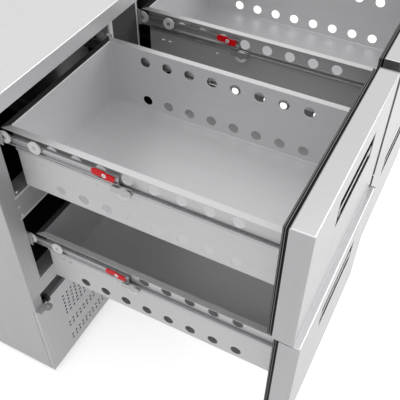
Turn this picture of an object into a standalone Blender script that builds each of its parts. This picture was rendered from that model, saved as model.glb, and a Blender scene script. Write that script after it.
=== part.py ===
"""Refrigerated drawer counter: an insulated steel cabinet with four drawers on telescopic slides.

Metres, +Z up. The drawers pull toward -Y and are shown pulled out.
"""

import math

import bmesh
import bpy
from mathutils import Matrix, Vector

# Cabinet
counter_width = 0.9
counter_depth = 0.7
counter_height = 0.89
foot_height = 0.018
foot_radius = 0.019
foot_inset = 0.06
worktop_thickness = 0.033
worktop_sheet = 0.0015
worktop_overhang = 0.0555
sheet = 0.001
frame_sheet = 0.0012
gap = 0.0003

# Front openings, two columns of two drawers, with their heights taken down from the worktop
stile_width = 0.0405
mullion_width = 0.113
upper_opening_drop = 0.07
upper_opening_height = 0.201
middle_bar_height = 0.064
lower_opening_height = 0.19
bottom_bar_height = 0.048
frame_depth = 0.035
plenum_depth = 0.088
rear_insulation = 0.0502

# Grille panel and the machine room behind it
grille_drop = 0.0406
grille_return = 0.0093
grille_pitch_x = 0.015
grille_side_margin = 0.0895
grille_first_row_share = 0.1757
grille_row_pitch_share = 0.0538
grille_hole_pitch_share = 0.2446
grille_columns = 10
grille_rows = (0, 1, 2, 3, 4, 5, 8, 9, 12, 13)
grille_hole_sides = 6

# Drawers, measured from the inner rear top corner of each tray
full_pull = 0.5531
shown_pull = 0.5405
fully_out = ("lower_left",)
middle_play = 0.0126
seal_gap = 0.0005
tray_clearance = 0.023
tray_height = 0.145
tray_reach = 0.524
upper_tray_drop = 0.104
tray_step = 0.2725
side_flange = 0.014
rear_flange = 0.013
hole_radius = 0.011
hole_pitch = 0.0507
first_hole = 0.0827
hole_count = 8
upper_hole_drop = 0.028
lower_hole_drop = 0.123
hole_sides = 10

# Drawer fronts
front_thickness = 0.037
front_margin = 0.0015
left_front_end = 0.0233
right_front_start = 0.0066
front_row_gap = 0.003
upper_front_drop = 0.0355
upper_front_height = 0.2685
lower_front_height = 0.2945
gasket_thickness = 0.01
gasket_inset = 0.003
gasket_width = 0.014
pocket_width = 0.179
pocket_start = 0.1257
pocket_height = 0.0547
pocket_depth = 0.024
pocket_drop = 0.0493

# Slide sections: distances out from the tray's inner wall, heights below its top edge
drawer_rail_inner = 0.0013
drawer_rail_outer = 0.009
drawer_rail_top = -0.0392
drawer_rail_lip = -0.044
drawer_rail_bottom = -0.05
drawer_rail_rear = 0.004
middle_rail_inner = 0.0095
middle_rail_outer = 0.0145
middle_rail_top = -0.0155
middle_rail_bottom = -0.034
middle_rail_skirt = -0.04
middle_rail_front = 0.224
middle_rail_length = 0.5
cabinet_rail_inner = 0.015
cabinet_rail_ledge = 0.0112
cabinet_rail_outer = 0.0225
cabinet_rail_top = 0.0008
cabinet_rail_bottom = -0.0358
cabinet_rail_setback = -0.008
cabinet_rail_flange_setback = 0.02
cabinet_rail_clearance = 0.02
rail_sheet = 0.0012
carrier_plate_setback = 0.06
carrier_plate_inset = 0.043
roller_radius = 0.013
roller_thickness = 0.0028
rivet_radius = 0.0035
rivet_proud = 0.0003
front_roller_setback = 0.006
front_roller_drop = 0.012
middle_roller_places = (0.0575, -0.0078)
middle_roller_drop = 0.019
stop_roller_y = 0.231
stop_roller_drop = 0.0535
stop_tab_front = 0.2475
stop_tab_rear = 0.2075
stop_tab_bottom = -0.054
stop_cover_top = -0.041
roller_sides = 16

# Red slide latches
latch_rivet_y = 0.2
latch_rivet_drop = 0.021
latch_front_reach = 0.02
latch_rear_reach = 0.025
latch_height = 0.017
latch_thickness = 0.0022
latch_corner = 0.005
latch_pin_radius = 0.002
latch_bore_radius = 0.00216
latch_pin_proud = 0.0006

# Bracket at the lower left corner
bracket_width = 0.0245
bracket_plate = 0.0015
bracket_shelf = 0.003
bracket_reach = 0.0264
bracket_lug_radius = 0.011
bracket_hole_radius = 0.0025
bush_radius = 0.0105
bush_thickness = 0.007
bush_inset = 0.0435
bush_setback = 0.0045
bush_lift = 0.0038
bush_pin_radius = 0.0025
notch_margin = 0.0015

# Refrigeration parts
compressor_side_margin = 0.25
compressor_setback = 0.3
compressor_radius = 0.065
compressor_headroom = 0.0967
compressor_foot = 0.008
compressor_foot_reach = 0.08
condenser_side_margin = 0.25
condenser_setback = 0.06
condenser_width = 0.26
condenser_headroom = 0.0467
condenser_depth = 0.04
fin_count = 20
fin_share = 0.3
fin_root_share = 0.2
fan_margin = 0.02
fan_hub_radius = 0.022
fan_hub_depth = 0.03
fan_blade_thickness = 0.0015
fan_blade_depth = 0.018
fan_blades = 5
fan_motor_depth = 0.05
fan_motor_radius = 0.028
motor_arm_width = 0.016
evaporator_width = 0.4
evaporator_height = 0.24
evaporator_depth = 0.04
evaporator_lift = 0.1
round_sides = 24

STEEL = (0.72, 0.72, 0.73)
PALE_STEEL = (0.84, 0.84, 0.85)
DARK_STEEL = (0.52, 0.53, 0.54)
BLACK = (0.02, 0.02, 0.022)
RED = (0.62, 0.012, 0.016)
FOAM = (0.86, 0.8, 0.6)

front_stack = seal_gap + gasket_thickness + front_thickness
total_length = front_stack + full_pull + counter_depth - worktop_overhang
frame_y = front_stack + full_pull - total_length / 2
worktop_front = frame_y - worktop_overhang
back_y = worktop_front + counter_depth
worktop_bottom = counter_height - worktop_thickness
half_width = counter_width / 2
shell_half = half_width - sheet
opening_width = half_width - stile_width - mullion_width / 2
column_x = (mullion_width + opening_width) / 2
tray_width = opening_width - 2 * tray_clearance
front_ends = {
    "left": (front_margin - half_width, -left_front_end),
    "right": (right_front_start, half_width - front_margin),
}
upper_opening_top = counter_height - upper_opening_drop
upper_opening_bottom = upper_opening_top - upper_opening_height
lower_opening_top = upper_opening_bottom - middle_bar_height
lower_opening_bottom = lower_opening_top - lower_opening_height
frame_bottom = lower_opening_bottom - bottom_bar_height
upper_front_top = counter_height - upper_front_drop
upper_front_bottom = upper_front_top - upper_front_height
lower_front_top = upper_front_bottom - front_row_gap
lower_front_bottom = lower_front_top - lower_front_height
upper_tray_top = counter_height - upper_tray_drop
lower_tray_top = upper_tray_top - tray_step
grille_top = frame_bottom - grille_drop
machine_floor = foot_height + sheet + gap
compressor_x = half_width - compressor_side_margin
condenser_x = condenser_side_margin - half_width
machine_height = frame_bottom - sheet - machine_floor
compressor_height = machine_height - compressor_headroom
condenser_height = machine_height - condenser_headroom
fan_radius = condenser_height / 2 - fan_margin
compartment_depth = counter_depth - worktop_overhang - frame_depth - gap - sheet - rear_insulation
divider_depth = compartment_depth - plenum_depth
cabinet_rail_length = (
    frame_depth + compartment_depth - evaporator_depth - cabinet_rail_clearance - cabinet_rail_setback
)
liner_half = column_x + opening_width / 2
divider_half = column_x - opening_width / 2
liner_front = frame_y + frame_depth + gap
liner_back = liner_front + compartment_depth
divider_back = liner_front + divider_depth


def finish(bm, name, colour, roughness, metallic, smooth=False):
    """Turns a bmesh into a named object with its own material."""
    bmesh.ops.recalc_face_normals(bm, faces=bm.faces)
    mesh = bpy.data.meshes.new(name)
    bm.to_mesh(mesh)
    bm.free()
    obj = bpy.data.objects.new(name, mesh)
    bpy.context.scene.collection.objects.link(obj)
    material = bpy.data.materials.new(name)
    material.use_nodes = True
    shader = material.node_tree.nodes["Principled BSDF"]
    shader.inputs["Base Color"].default_value = (*colour, 1)
    shader.inputs["Roughness"].default_value = roughness
    shader.inputs["Metallic"].default_value = metallic
    mesh.materials.append(material)
    if smooth:
        for face in mesh.polygons:
            face.use_smooth = True
        mesh.set_sharp_from_angle(angle=math.radians(35))
    return obj


def add_box(bm, x, y, z):
    """Adds a box that spans three (low, high) pairs."""
    corners = [bm.verts.new((a, b, c)) for a in x for b in y for c in z]
    for face in ((0, 1, 3, 2), (4, 6, 7, 5), (0, 4, 5, 1), (2, 3, 7, 6), (0, 2, 6, 4), (1, 5, 7, 3)):
        bm.faces.new([corners[index] for index in face])


def add_prism(bm, outline, direction, start, end):
    """Extrudes a closed outline of points along one axis from start to end."""
    ends = []
    for at in (start, end):
        points = []
        for first, second in outline:
            point = [first, second]
            point.insert("xyz".index(direction), at)
            points.append(bm.verts.new(point))
        ends.append(points)
    bm.faces.new(ends[0])
    bm.faces.new(ends[1])
    for index in range(len(outline)):
        following = (index + 1) % len(outline)
        bm.faces.new((ends[0][index], ends[0][following], ends[1][following], ends[1][index]))


def circle(centre, radius, sides, turn=0.0):
    """Points round a circle in a plane."""
    angles = [turn + math.tau * index / sides for index in range(sides)]
    return [(centre[0] + radius * math.cos(a), centre[1] + radius * math.sin(a)) for a in angles]


def add_lathe(bm, profile, direction, centre, sides):
    """Turns (radius, along) steps round an axis; the profile starts and ends on flat discs."""
    rings = []
    for radius, along in profile:
        ring = []
        for first, second in circle(centre, radius, sides):
            point = [first, second]
            point.insert("xyz".index(direction), along)
            ring.append(bm.verts.new(point))
        rings.append(ring)
    for below, above in zip(rings, rings[1:]):
        for index in range(sides):
            following = (index + 1) % sides
            bm.faces.new((below[index], below[following], above[following], above[index]))
    bm.faces.new(rings[0])
    bm.faces.new(rings[-1])


def tool(build):
    """A hidden helper object for a Boolean, made by a function that fills a bmesh."""
    bm = bmesh.new()
    build(bm)
    bmesh.ops.recalc_face_normals(bm, faces=bm.faces)
    mesh = bpy.data.meshes.new("tool")
    bm.to_mesh(mesh)
    bm.free()
    obj = bpy.data.objects.new("tool", mesh)
    bpy.context.scene.collection.objects.link(obj)
    return obj


def combine(obj, operation, helper):
    """Applies an exact Boolean and removes the helper."""
    modifier = obj.modifiers.new("combine", "BOOLEAN")
    modifier.operation = operation
    modifier.solver = "EXACT"
    modifier.use_self = True
    modifier.object = helper
    bpy.context.view_layer.update()
    graph = bpy.context.evaluated_depsgraph_get()
    mesh = bpy.data.meshes.new_from_object(obj.evaluated_get(graph))
    obj.modifiers.clear()
    old = obj.data
    obj.data = mesh
    bpy.data.meshes.remove(old)
    bpy.data.objects.remove(helper)
    return obj


def cut(obj, build):
    return combine(obj, "DIFFERENCE", tool(build))


def join(obj, build):
    return combine(obj, "UNION", tool(build))


def cut_box(obj, x, y, z):
    return cut(obj, lambda bm: add_box(bm, x, y, z))


def box_object(name, x, y, z, colour, roughness, metallic):
    bm = bmesh.new()
    add_box(bm, x, y, z)
    return finish(bm, name, colour, roughness, metallic)


def place(obj, name, at, mirror=False):
    """Copies an object built round its own origin to a place, mirrored in X when asked."""
    mesh = obj.data.copy()
    mesh.name = name
    if mirror:
        mesh.transform(Matrix.Scale(-1, 4, Vector((1, 0, 0))))
        mesh.flip_normals()
    copy = bpy.data.objects.new(name, mesh)
    bpy.context.scene.collection.objects.link(copy)
    copy.location = at
    material = obj.data.materials[0].copy()
    material.name = name
    mesh.materials[0] = material
    return copy


def openings():
    """The four front openings as (x, z) spans."""
    spans = []
    for side in (-1, 1):
        x = sorted((side * column_x - opening_width / 2, side * column_x + opening_width / 2))
        spans.append((x, (upper_opening_bottom, upper_opening_top)))
        spans.append((x, (lower_opening_bottom, lower_opening_top)))
    return spans


def grow(span, by):
    return (span[0] - by, span[1] + by)


def make_worktop():
    worktop = box_object(
        "worktop", (-half_width, half_width), (worktop_front, back_y), (worktop_bottom, counter_height),
        PALE_STEEL, 0.3, 1.0,
    )
    inner_x = (-half_width + worktop_sheet, half_width - worktop_sheet)
    cut_box(
        worktop, inner_x, (worktop_front + worktop_sheet, back_y - worktop_sheet),
        (worktop_bottom + worktop_sheet, counter_height - worktop_sheet),
    )
    cut_box(
        worktop, inner_x, (frame_y, back_y - worktop_sheet),
        (worktop_bottom - worktop_sheet, worktop_bottom + 2 * worktop_sheet),
    )


def make_casing():
    """Side walls, back, base tray and the deck under the cold compartment, as one folded shell."""
    casing = box_object(
        "outer_casing", (-half_width, half_width), (frame_y, back_y), (foot_height, worktop_bottom - gap),
        STEEL, 0.34, 1.0,
    )
    inner_x = (-shell_half, shell_half)
    inner_y = (frame_y - sheet, back_y - sheet)
    cut_box(casing, inner_x, inner_y, (frame_bottom, counter_height))
    cut_box(casing, inner_x, inner_y, (foot_height + sheet, frame_bottom - sheet))
    front = (frame_y - sheet, frame_y + grille_return + gap)
    cut_box(casing, (-counter_width, counter_width), front, (0, grille_top + gap))
    cut_box(casing, inner_x, (frame_y - sheet, frame_y + frame_depth), (frame_bottom - 2 * sheet, frame_bottom))


def make_liner():
    """Inner skin of the two compartments, with a hollow divider that is filled with foam from above."""
    low = lower_opening_bottom - sheet
    high = upper_opening_top + sheet
    liner = box_object(
        "liner", (-liner_half - sheet, liner_half + sheet), (liner_front, liner_back + sheet), (low, high),
        STEEL, 0.36, 1.0,
    )
    inner_z = (lower_opening_bottom, upper_opening_top)
    for side in (-1, 1):
        x = sorted((side * divider_half, side * liner_half))
        cut_box(liner, x, (liner_front - sheet, divider_back), inner_z)
    cut_box(liner, (-liner_half, liner_half), (divider_back + sheet, liner_back), inner_z)
    for side in (-1, 1):
        x = sorted((side * divider_half, side * liner_half))
        cut_box(liner, x, (divider_back - sheet, divider_back + 2 * sheet), inner_z)
    hollow = (-divider_half + sheet, divider_half - sheet)
    cut_box(liner, hollow, (liner_front + sheet, divider_back), (lower_opening_bottom, high + sheet))


def make_insulation():
    low = frame_bottom + gap
    high = counter_height - worktop_sheet - gap
    foam = box_object(
        "insulation", (-shell_half + gap, shell_half - gap), (liner_front, back_y - worktop_sheet - gap),
        (low, high), FOAM, 0.9, 0.0,
    )
    edge = sheet + gap
    cut_box(
        foam, (-liner_half - edge, liner_half + edge), (liner_front - edge, liner_back + edge),
        (lower_opening_bottom - edge, upper_opening_top + edge),
    )
    inset = divider_half - edge
    join(foam, lambda bm: add_box(
        bm, (-inset, inset), (liner_front + edge, divider_back - gap),
        (lower_opening_bottom + gap, upper_opening_top + 2 * edge),
    ))
    over = worktop_sheet + gap
    for x in ((-half_width, -half_width + over), (half_width - over, half_width)):
        cut_box(foam, x, (frame_y, back_y), (worktop_bottom - gap, counter_height))


def make_frame():
    """Front frame: four openings with turned-in edges, hollow at the back."""
    outer_x = (-shell_half + gap, shell_half - gap)
    outer_z = (frame_bottom, worktop_bottom - gap)
    frame = box_object(
        "front_frame", outer_x, (frame_y, frame_y + frame_depth), outer_z, DARK_STEEL, 0.3, 1.0,
    )
    hollow = tool(lambda bm: add_box(
        bm, grow(outer_x, -frame_sheet), (frame_y + frame_sheet, frame_y + 2 * frame_depth),
        grow(outer_z, -frame_sheet),
    ))
    for x, z in openings():
        cut_box(hollow, grow(x, frame_sheet), (frame_y - sheet, frame_y + 3 * frame_depth), grow(z, frame_sheet))
    combine(frame, "DIFFERENCE", hollow)
    for x, z in openings():
        cut_box(frame, x, (frame_y - sheet, frame_y + 2 * frame_depth), z)


def make_grille():
    grille = box_object(
        "grille_panel", (-half_width, half_width), (frame_y, frame_y + grille_return), (foot_height, grille_top),
        STEEL, 0.36, 1.0,
    )
    cut_box(
        grille, (-half_width + frame_sheet, half_width - frame_sheet),
        (frame_y + frame_sheet, frame_y + 2 * grille_return),
        (foot_height + sheet + gap, grille_top - frame_sheet),
    )
    cut_box(
        grille, (-half_width + frame_sheet, half_width - frame_sheet),
        (frame_y + frame_sheet, frame_y + 2 * grille_return), (0, foot_height + 2 * sheet),
    )

    first_x = -half_width + grille_side_margin
    panel_height = grille_top - foot_height
    first_z = grille_top - panel_height * grille_first_row_share
    row_pitch = panel_height * grille_row_pitch_share
    radius = row_pitch * grille_hole_pitch_share

    def holes(bm):
        for row in grille_rows:
            for column in range(grille_columns):
                centre = (first_x + column * grille_pitch_x, first_z - row * row_pitch)
                outline = circle(centre, radius, grille_hole_sides)
                add_prism(bm, outline, "y", frame_y - sheet, frame_y + 2 * frame_sheet)

    cut(grille, holes)
    bush_x = -half_width + bush_inset
    bush_z = grille_top + bush_lift
    reach = bush_radius + notch_margin
    notch_x = grow((bush_x - bush_thickness / 2, bush_x + bush_thickness / 2), notch_margin)
    cut_box(grille, notch_x, (-counter_depth, back_y), (bush_z - reach, counter_height))


def make_bracket():
    """Corner bracket: a plate that stands in the air slot, a shelf with a round lug, and the bush on its pin."""
    left = gap - shell_half
    right = left + bracket_width
    back = frame_y + bracket_plate
    low = grille_top + gap
    bracket = box_object(
        "hinge_bracket", (left, right), (frame_y, back), (low, frame_bottom - gap), STEEL, 0.4, 1.0,
    )
    lug_y = back - bracket_reach + bracket_lug_radius
    join(bracket, lambda bm: add_box(bm, (left, right), (lug_y, back), (low, low + bracket_shelf)))
    join(bracket, lambda bm: add_prism(
        bm, circle((right, lug_y), bracket_lug_radius, round_sides), "z", low, low + bracket_shelf,
    ))
    cut(bracket, lambda bm: add_prism(
        bm, circle((right, lug_y), bracket_hole_radius, hole_sides), "z", 0, counter_height,
    ))
    bm = bmesh.new()
    centre = (frame_y + bush_setback, grille_top + bush_lift)
    near = -half_width + bush_inset - bush_thickness / 2
    far = near + bush_thickness
    add_lathe(
        bm, [(bush_pin_radius, gap - shell_half), (bush_pin_radius, near), (bush_radius, near),
             (bush_radius, far)], "x", centre, round_sides,
    )
    finish(bm, "hinge_bush", BLACK, 0.4, 0.0, smooth=True)


def make_tray():
    """Tray with a top flange and two rows of round holes in each side."""
    half = tray_width / 2
    front = -tray_reach - gasket_thickness + gap
    tray = box_object(
        "tray", (-half - sheet, half + sheet), (front, sheet), (-tray_height, 0), PALE_STEEL, 0.28, 1.0,
    )
    flange = half + side_flange
    join(tray, lambda bm: add_box(bm, (-flange, flange), (front, rear_flange), (-sheet, 0)))
    cut_box(tray, (-half, half), (front + sheet, 0), (-tray_height + sheet, tray_height))

    def holes(bm):
        for index in range(hole_count):
            for drop in (upper_hole_drop, lower_hole_drop):
                centre = (-first_hole - index * hole_pitch, -drop)
                outline = circle(centre, hole_radius, hole_sides)
                add_prism(bm, outline, "x", -tray_width, tray_width)

    return cut(tray, holes)


def make_front(name, ends, top, bottom):
    """Steel drawer front folded round the back, its foam core and the seal, as three objects."""
    skin = box_object(name + "_front", ends, (-front_thickness, 0), (bottom, top), PALE_STEEL, 0.26, 1.0)
    pocket_x = (ends[0] + pocket_start, ends[0] + pocket_start + pocket_width)
    pocket_z = (top - pocket_drop - pocket_height, top - pocket_drop)
    pocket_y = (-counter_depth, pocket_depth - front_thickness)
    hollow = tool(lambda bm: add_box(
        bm, grow(ends, -sheet), (sheet - front_thickness, front_thickness), (bottom + sheet, top - sheet),
    ))
    cut_box(hollow, grow(pocket_x, sheet), (pocket_y[0], pocket_y[1] + sheet), grow(pocket_z, sheet))
    combine(skin, "DIFFERENCE", hollow)
    cut_box(skin, pocket_x, pocket_y, pocket_z)

    edge = sheet + gap
    core = box_object(
        name + "_core", grow(ends, -edge), (edge - front_thickness, 0), (bottom + edge, top - edge),
        FOAM, 0.9, 0.0,
    )
    cut_box(core, grow(pocket_x, edge), (pocket_y[0], pocket_y[1] + edge), grow(pocket_z, edge))

    outer_z = (bottom + gasket_inset, top - gasket_inset)
    seal = box_object(
        name + "_seal", grow(ends, -gasket_inset), (gap, gasket_thickness), outer_z, BLACK, 0.6, 0.0,
    )
    cut_box(
        seal, grow(ends, -gasket_inset - gasket_width), (-gasket_thickness, 2 * gasket_thickness),
        grow(outer_z, -gasket_width),
    )
    return skin, core, seal


def make_drawer_rail():
    """Trough-shaped member on the tray's side, open at the top."""
    wall = -drawer_rail_inner
    outer = -drawer_rail_outer
    outline = [
        (wall, drawer_rail_top), (wall - rail_sheet, drawer_rail_top),
        (wall - rail_sheet, drawer_rail_bottom + rail_sheet), (outer + rail_sheet, drawer_rail_bottom + rail_sheet),
        (outer + rail_sheet, drawer_rail_lip), (outer, drawer_rail_lip),
        (outer, drawer_rail_bottom), (wall, drawer_rail_bottom),
    ]
    bm = bmesh.new()
    add_prism(bm, outline, "y", -tray_reach - gasket_thickness + gap, -drawer_rail_rear)
    return finish(bm, "drawer_rail", STEEL, 0.35, 1.0)


def make_middle_rail():
    """Middle slide member with its roller and the pin of its latch."""
    web = -middle_rail_inner
    edge = -middle_rail_outer
    bm = bmesh.new()
    inside = web - rail_sheet
    outline = [
        (web, middle_rail_top), (edge, middle_rail_top), (edge, middle_rail_top - rail_sheet),
        (inside, middle_rail_top - rail_sheet), (inside, middle_rail_bottom + rail_sheet),
        (edge, middle_rail_bottom + rail_sheet), (edge, middle_rail_bottom), (inside, middle_rail_bottom),
        (inside, middle_rail_skirt), (web, middle_rail_skirt),
    ]
    add_prism(bm, outline, "y", -middle_rail_front, middle_rail_length - middle_rail_front)
    rail = finish(bm, "middle_rail", STEEL, 0.35, 1.0)
    start = web - rail_sheet / 2
    disc = edge - gap

    def roller(bm, y, drop, near):
        far = near - roller_thickness
        add_lathe(
            bm,
            [(rivet_radius, start), (rivet_radius, near), (roller_radius, near), (roller_radius, far),
             (rivet_radius, far), (rivet_radius, far - rivet_proud)],
            "x", (-y, -drop), roller_sides,
        )

    def pin(bm):
        add_lathe(
            bm, [(latch_pin_radius, start), (latch_pin_radius, disc - latch_thickness - latch_pin_proud)],
            "x", (-latch_rivet_y, -latch_rivet_drop), hole_sides,
        )

    for place_y in middle_roller_places:
        join(rail, lambda bm, y=place_y: roller(bm, y, middle_roller_drop, disc))
    tab_y = (-stop_tab_front, -stop_tab_rear)
    cover = inside - gap - roller_thickness
    join(rail, lambda bm: add_box(bm, (inside, web), tab_y, (stop_tab_bottom, middle_rail_skirt + rail_sheet)))
    join(rail, lambda bm: roller(bm, stop_roller_y, stop_roller_drop, inside - gap))
    join(rail, lambda bm: add_box(bm, (cover - rail_sheet, cover), tab_y, (stop_tab_bottom, stop_cover_top)))
    return join(rail, pin)


def make_latch():
    """Red lever that turns on the middle member's pin; its origin is on the pin."""
    low = -latch_height / 2
    high = latch_height / 2
    front = -latch_front_reach
    rear = latch_rear_reach
    outline = [
        (front, low + latch_corner), (front + latch_corner, low), (rear - latch_corner, low),
        (rear, low + latch_corner), (rear, high - latch_corner), (rear - latch_corner, high),
        (front + latch_corner, high), (front, high - latch_corner),
    ]
    disc = -middle_rail_outer - gap
    bm = bmesh.new()
    add_prism(bm, outline, "x", disc, disc - latch_thickness)
    latch = finish(bm, "latch", RED, 0.3, 0.0)
    return cut(latch, lambda bm: add_prism(
        bm, circle((0, 0), latch_bore_radius, hole_sides), "x", 0, -counter_depth,
    ))


def make_carrier():
    """Upper and lower cabinet members with front rollers, on one upright plate."""
    web = -cabinet_rail_outer
    edge = -cabinet_rail_inner
    ledge = -cabinet_rail_ledge
    back = cabinet_rail_setback + cabinet_rail_length
    step = lower_tray_top - upper_tray_top

    def flanges(bm, lift):
        inside = web + rail_sheet
        top = cabinet_rail_top + lift
        bottom = cabinet_rail_bottom + lift
        outline = [
            (web, top), (edge, top), (edge, top - rail_sheet), (inside, top - rail_sheet),
            (inside, bottom + rail_sheet), (ledge, bottom + rail_sheet), (ledge, bottom), (web, bottom),
        ]
        add_prism(bm, outline, "y", cabinet_rail_flange_setback, back)

    def nose(bm, lift):
        add_box(
            bm, (web, web + rail_sheet), (cabinet_rail_setback, carrier_plate_setback),
            (cabinet_rail_bottom + lift + rail_sheet, cabinet_rail_top + lift - rail_sheet),
        )

    def roller(bm, lift):
        face = web + rail_sheet + roller_thickness
        add_lathe(
            bm, [(roller_radius, web + rail_sheet / 2), (roller_radius, face), (rivet_radius, face),
                 (rivet_radius, face + rivet_proud)],
            "x", (front_roller_setback, lift - front_roller_drop), roller_sides,
        )

    bm = bmesh.new()
    flanges(bm, 0)
    carrier = finish(bm, "carrier", STEEL, 0.36, 1.0)
    join(carrier, lambda bm: add_box(
        bm, (web, web + rail_sheet),
        (carrier_plate_setback - rail_sheet, back - carrier_plate_inset),
        (step + cabinet_rail_bottom + rail_sheet, cabinet_rail_bottom + rail_sheet),
    ))
    join(carrier, lambda bm: flanges(bm, step))
    for lift in (0, step):
        join(carrier, lambda bm, at=lift: nose(bm, at))
        join(carrier, lambda bm, at=lift: roller(bm, at))
    return carrier


def comb(bm, x, y, z):
    """Block with upright fins: a solid root along the back and fins toward the front."""
    pitch = (x[1] - x[0]) / fin_count
    root = y[1] - (y[1] - y[0]) * fin_root_share
    outline = [(x[0], y[1])]
    for index in range(fin_count):
        left = x[0] + index * pitch
        right = left + pitch * fin_share
        if index == fin_count - 1:
            left, right = x[1] - pitch * fin_share, x[1]
        if index:
            outline.append((left, root))
        outline.append((left, y[0]))
        outline.append((right, y[0]))
        if index < fin_count - 1:
            outline.append((right, root))
    outline.append((x[1], y[1]))
    add_prism(bm, outline, "z", z[0], z[1])


def make_refrigeration():
    base = machine_floor
    bm = bmesh.new()
    y = frame_y + compressor_setback
    foot = compressor_foot_reach
    add_box(bm, (compressor_x - foot, compressor_x + foot), (y - foot, y + foot), (base, base + compressor_foot))
    compressor = finish(bm, "compressor", BLACK, 0.35, 0.0, smooth=True)
    dome = compressor_radius / 3
    join(compressor, lambda bm: add_lathe(
        bm, [(compressor_radius, base + compressor_foot / 2),
             (compressor_radius, base + compressor_height - dome),
             (compressor_radius - dome / 3, base + compressor_height - dome / 3),
             (compressor_radius - dome, base + compressor_height)],
        "z", (compressor_x, y), round_sides,
    ))

    y = frame_y + condenser_setback
    bm = bmesh.new()
    x = (condenser_x - condenser_width / 2, condenser_x + condenser_width / 2)
    comb(bm, x, (y, y + condenser_depth), (base, base + condenser_height))
    condenser = finish(bm, "condenser", DARK_STEEL, 0.4, 1.0)
    back = y + condenser_depth
    middle = base + condenser_height / 2
    motor = back + fan_hub_depth + 2 * gap
    arm = motor_arm_width / 2
    root = condenser_depth * fin_root_share

    def mounting(bm):
        for side in (-1, 1):
            ends = sorted((condenser_x + side * (condenser_width / 2 - arm), condenser_x + side * condenser_width / 2))
            add_box(bm, ends, (back - root / 2, motor + fan_motor_depth), (middle - arm, middle + arm))
        add_box(bm, x, (motor + fan_motor_depth - root, motor + fan_motor_depth), (middle - arm, middle + arm))

    join(condenser, mounting)
    join(condenser, lambda bm: add_lathe(
        bm, [(fan_motor_radius, motor), (fan_motor_radius, motor + fan_motor_depth - root / 2)],
        "y", (condenser_x, middle), round_sides,
    ))

    bm = bmesh.new()
    add_lathe(
        bm, [(fan_hub_radius, -fan_hub_depth / 2 + gap), (fan_hub_radius, fan_hub_depth / 2 - gap)],
        "y", (0, 0), round_sides,
    )
    fan = finish(bm, "condenser_fan", BLACK, 0.45, 0.0)
    for index in range(fan_blades):
        turn = Matrix.Rotation(math.tau * index / fan_blades, 4, "Y")
        half = fan_blade_depth / 2
        root_y = half - fan_blade_thickness

        def blade(bm, turn=turn, half=half, root_y=root_y):
            outline = [
                (-half, -root_y), (half, root_y - fan_blade_thickness),
                (half, root_y), (-half, -root_y + fan_blade_thickness),
            ]
            add_prism(bm, outline, "z", fan_hub_radius / 2, fan_radius)
            bmesh.ops.transform(bm, matrix=turn, verts=bm.verts)

        join(fan, blade)
    fan.location = (condenser_x, back + fan_hub_depth / 2 + gap, middle)

    bm = bmesh.new()
    z = lower_opening_bottom + evaporator_lift
    comb(
        bm, (-evaporator_width / 2, evaporator_width / 2),
        (liner_back - gap - evaporator_depth, liner_back - gap), (z, z + evaporator_height),
    )
    finish(bm, "evaporator", DARK_STEEL, 0.4, 1.0)


def make_feet():
    for side, x in (("left", -half_width + foot_inset), ("right", half_width - foot_inset)):
        for end, y in (("front", frame_y + foot_inset), ("rear", back_y - foot_inset)):
            bm = bmesh.new()
            add_lathe(
                bm, [(foot_radius, 0), (foot_radius, foot_height / 2), (foot_radius / 2, foot_height / 2),
                     (foot_radius / 2, foot_height - gap)],
                "z", (0, 0), round_sides,
            )
            foot = finish(bm, f"foot_{end}_{side}", BLACK, 0.5, 0.0, smooth=True)
            foot.location = (x, y, 0)


def make_drawers():
    """Four drawers with their slides; the one that is fully out has its middle members back by their play."""
    tray = make_tray()
    rail = make_drawer_rail()
    middle = make_middle_rail()
    latch = make_latch()
    carrier = make_carrier()
    rows = (
        ("upper", upper_tray_top, upper_front_top, upper_front_bottom),
        ("lower", lower_tray_top, lower_front_top, lower_front_bottom),
    )
    for row, height, top, bottom in rows:
        for side, sign in (("left", -1), ("right", 1)):
            x = sign * column_x
            name = f"{row}_{side}"
            pull, play = (full_pull, middle_play) if name in fully_out else (shown_pull, 0)
            seal_y = frame_y - seal_gap - pull
            rear_y = seal_y + tray_reach
            slide_y = frame_y - seal_gap - pull / 2 + tray_reach - shown_pull / 2 + play
            place(tray, f"{name}_tray", (x, rear_y, height))
            for part in make_front(name, front_ends[side], top, bottom):
                part.location.y = seal_y - gasket_thickness
            for hand, mirror in (("left", False), ("right", True)):
                wall = x + (tray_width / 2 if mirror else -tray_width / 2)
                place(rail, f"{name}_drawer_rail_{hand}", (wall, rear_y, height), mirror)
                place(middle, f"{name}_middle_rail_{hand}", (wall, slide_y, height), mirror)
                at = (wall, slide_y - latch_rivet_y, height - latch_rivet_drop)
                place(latch, f"{name}_latch_{hand}", at, mirror)
    for side, sign in (("left", -1), ("right", 1)):
        for hand, mirror in (("left", False), ("right", True)):
            wall = sign * column_x + (tray_width / 2 if mirror else -tray_width / 2)
            place(carrier, f"{side}_carrier_{hand}", (wall, frame_y, upper_tray_top), mirror)
    for part in (tray, rail, middle, latch, carrier):
        bpy.data.objects.remove(part)


for existing in list(bpy.data.objects):
    bpy.data.objects.remove(existing)
make_worktop()
make_casing()
make_liner()
make_insulation()
make_frame()
make_grille()
make_bracket()
make_refrigeration()
make_feet()
make_drawers()
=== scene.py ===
import math

import bmesh
import bpy
from mathutils import Matrix, Vector


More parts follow.
